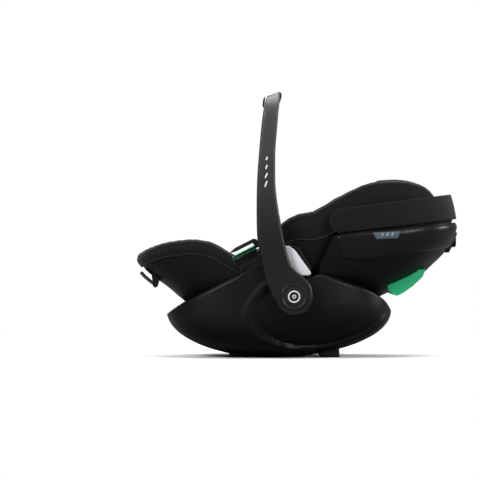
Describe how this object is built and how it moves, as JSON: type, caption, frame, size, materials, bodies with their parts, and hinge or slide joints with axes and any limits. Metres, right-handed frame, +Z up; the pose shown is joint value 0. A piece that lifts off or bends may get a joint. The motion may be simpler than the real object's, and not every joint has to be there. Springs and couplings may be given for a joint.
{
  "type": "infant car seat",
  "caption": "Rear-facing infant car seat: reclining padded bucket in an outer cradle, with swinging carry handle, folding canopy, sliding headrest, harness and belt guides.",
  "frame": {"origin": "on the ground, under the middle of the bounding box", "axes": "+X towards the child's head, +Y towards the child's right side, +Z up"},
  "size_m": [0.7352, 0.446, 0.6038],
  "materials": {
    "shell_plastic": "fine satin grain",
    "handle_plastic": "satin, slightly lighter than the shells",
    "soft_grip": "matt moulded grip",
    "cover_fabric": "black knitted cover",
    "padded_fabric": "black padded fabric",
    "hood_fabric": "black woven fabric on a stiff band",
    "label_fabric": "slate blue-grey label",
    "webbing": "woven harness webbing",
    "green_plastic": "bright green belt guides",
    "grey_plastic": "light grey buttons",
    "red_plastic": "red buckle button",
    "steel": "plain",
    "rubber": "matt"
  },
  "bodies": {
    "cradle": {"cradle_shell": "shell_plastic", "docking_bar_front": "steel", "docking_bar_rear": "steel", "rubber_foot_front_left": "rubber", "rubber_foot_front_right": "rubber", "rubber_foot_rear_left": "rubber", "rubber_foot_rear_right": "rubber", "hub_tower_left": "shell_plastic", "hub_tower_right": "shell_plastic", "hub_boss_left": "shell_plastic", "hub_boss_right": "shell_plastic"},
    "handle": {"handle_crossbar": "handle_plastic", "handle_grip": "soft_grip", "handle_arm_left": "handle_plastic", "handle_arm_right": "handle_plastic", "button_spring_left": "steel", "button_spring_right": "steel"},
    "handle_button_left": {"handle_button_left": "handle_plastic"},
    "handle_button_right": {"handle_button_right": "handle_plastic"},
    "release_button_left": {"release_button_left": "grey_plastic"},
    "release_button_right": {"release_button_right": "grey_plastic"},
    "bucket": {"seat_tub": "shell_plastic", "seat_cover": "cover_fabric", "infant_insert": "padded_fabric", "back_shell": "shell_plastic", "diagonal_belt_guide": "green_plastic", "buckle_body": "shell_plastic", "crotch_strap": "webbing", "crotch_pad": "padded_fabric", "adjuster_housing": "shell_plastic", "adjuster_strap": "webbing", "canopy_fabric": "hood_fabric", "hub_axle_left": "steel", "hub_axle_right": "steel", "canopy_pivot_left": "shell_plastic", "canopy_pivot_right": "shell_plastic", "side_panel_left": "handle_plastic", "side_panel_right": "handle_plastic", "side_tag_left": "label_fabric", "side_tag_right": "label_fabric", "lap_belt_hook_left": "green_plastic", "lap_belt_hook_right": "green_plastic", "lap_strap_left": "webbing", "lap_strap_right": "webbing", "buckle_tongue_left": "steel", "buckle_tongue_right": "steel", "shoulder_strap_left": "webbing", "shoulder_strap_right": "webbing", "shoulder_pad_left": "padded_fabric", "shoulder_pad_right": "padded_fabric"},
    "headrest": {"headrest": "padded_fabric"},
    "headrest_lever": {"headrest_lever": "handle_plastic"},
    "recline_lever": {"recline_lever": "grey_plastic"},
    "buckle_button": {"buckle_button": "red_plastic"},
    "adjuster_button": {"adjuster_button": "grey_plastic"},
    "canopy_front": {"canopy_visor": "hood_fabric"},
    "canopy_middle": {"canopy_mid_bow": "steel"}
  },
  "joints": [
    {"name": "handle_swing", "type": "hinge", "parent": "cradle", "child": "handle", "pos_m": [-0.011, 0, 0.14], "axis": [0, 1, 0], "range_deg": [0, 110]},
    {"name": "handle_button_left_press", "type": "slide", "parent": "handle", "child": "handle_button_left", "axis": [0, 1, 0], "range_m": [0, 0.004], "stiffness_N_per_m": 600, "springref_m": -0.003, "deforming": ["button_spring_left"]},
    {"name": "handle_button_right_press", "type": "slide", "parent": "handle", "child": "handle_button_right", "axis": [0, -1, 0], "range_m": [0, 0.004], "stiffness_N_per_m": 600, "springref_m": -0.003, "deforming": ["button_spring_right"]},
    {"name": "release_button_left_press", "type": "slide", "parent": "cradle", "child": "release_button_left", "axis": [0, 1, 0], "range_m": [0, 0.005], "stiffness_N_per_m": 600, "springref_m": -0.003},
    {"name": "release_button_right_press", "type": "slide", "parent": "cradle", "child": "release_button_right", "axis": [0, -1, 0], "range_m": [0, 0.005], "stiffness_N_per_m": 600, "springref_m": -0.003},
    {"name": "recline", "type": "hinge", "parent": "cradle", "child": "bucket", "pos_m": [-0.011, 0, 0.14], "axis": [0, -1, 0], "range_deg": [0, 11]},
    {"name": "headrest_slide", "type": "slide", "parent": "bucket", "child": "headrest", "axis": [-0.9112, 0, -0.4121], "range_m": [0, 0.045], "deforming": ["shoulder_strap_left", "shoulder_strap_right", "shoulder_pad_left", "shoulder_pad_right"]},
    {"name": "headrest_lever_pull", "type": "slide", "parent": "bucket", "child": "headrest_lever", "axis": [1, 0, 0], "range_m": [0, 0.006], "stiffness_N_per_m": 600, "springref_m": -0.003},
    {"name": "recline_lever_pull", "type": "hinge", "parent": "bucket", "child": "recline_lever", "pos_m": [-0.326, 0, 0.163], "axis": [0, -1, 0], "range_deg": [0, 14], "stiffness_Nm_per_rad": 0.8, "springref_deg": -11.46},
    {"name": "buckle_button_press", "type": "slide", "parent": "bucket", "child": "buckle_button", "axis": [-0.06, 0, -0.9982], "range_m": [0, 0.002], "stiffness_N_per_m": 600, "springref_m": -0.003},
    {"name": "adjuster_button_press", "type": "slide", "parent": "bucket", "child": "adjuster_button", "axis": [-0.473, 0, -0.881], "range_m": [0, 0.002], "stiffness_N_per_m": 600, "springref_m": -0.003},
    {"name": "canopy_fold", "type": "hinge", "parent": "bucket", "child": "canopy_front", "pos_m": [0.096, 0, 0.311], "axis": [0, -1, 0], "range_deg": [0, 105], "deforming": ["canopy_fabric"]},
    {"name": "canopy_middle_fold", "type": "hinge", "parent": "bucket", "child": "canopy_middle", "pos_m": [0.096, 0, 0.311], "axis": [0, -1, 0], "range_deg": [0, 52.5]}
  ],
  "couplings": [
    {"joint": "canopy_middle_fold", "follows": "canopy_fold", "ratio": 0.5}
  ]
}
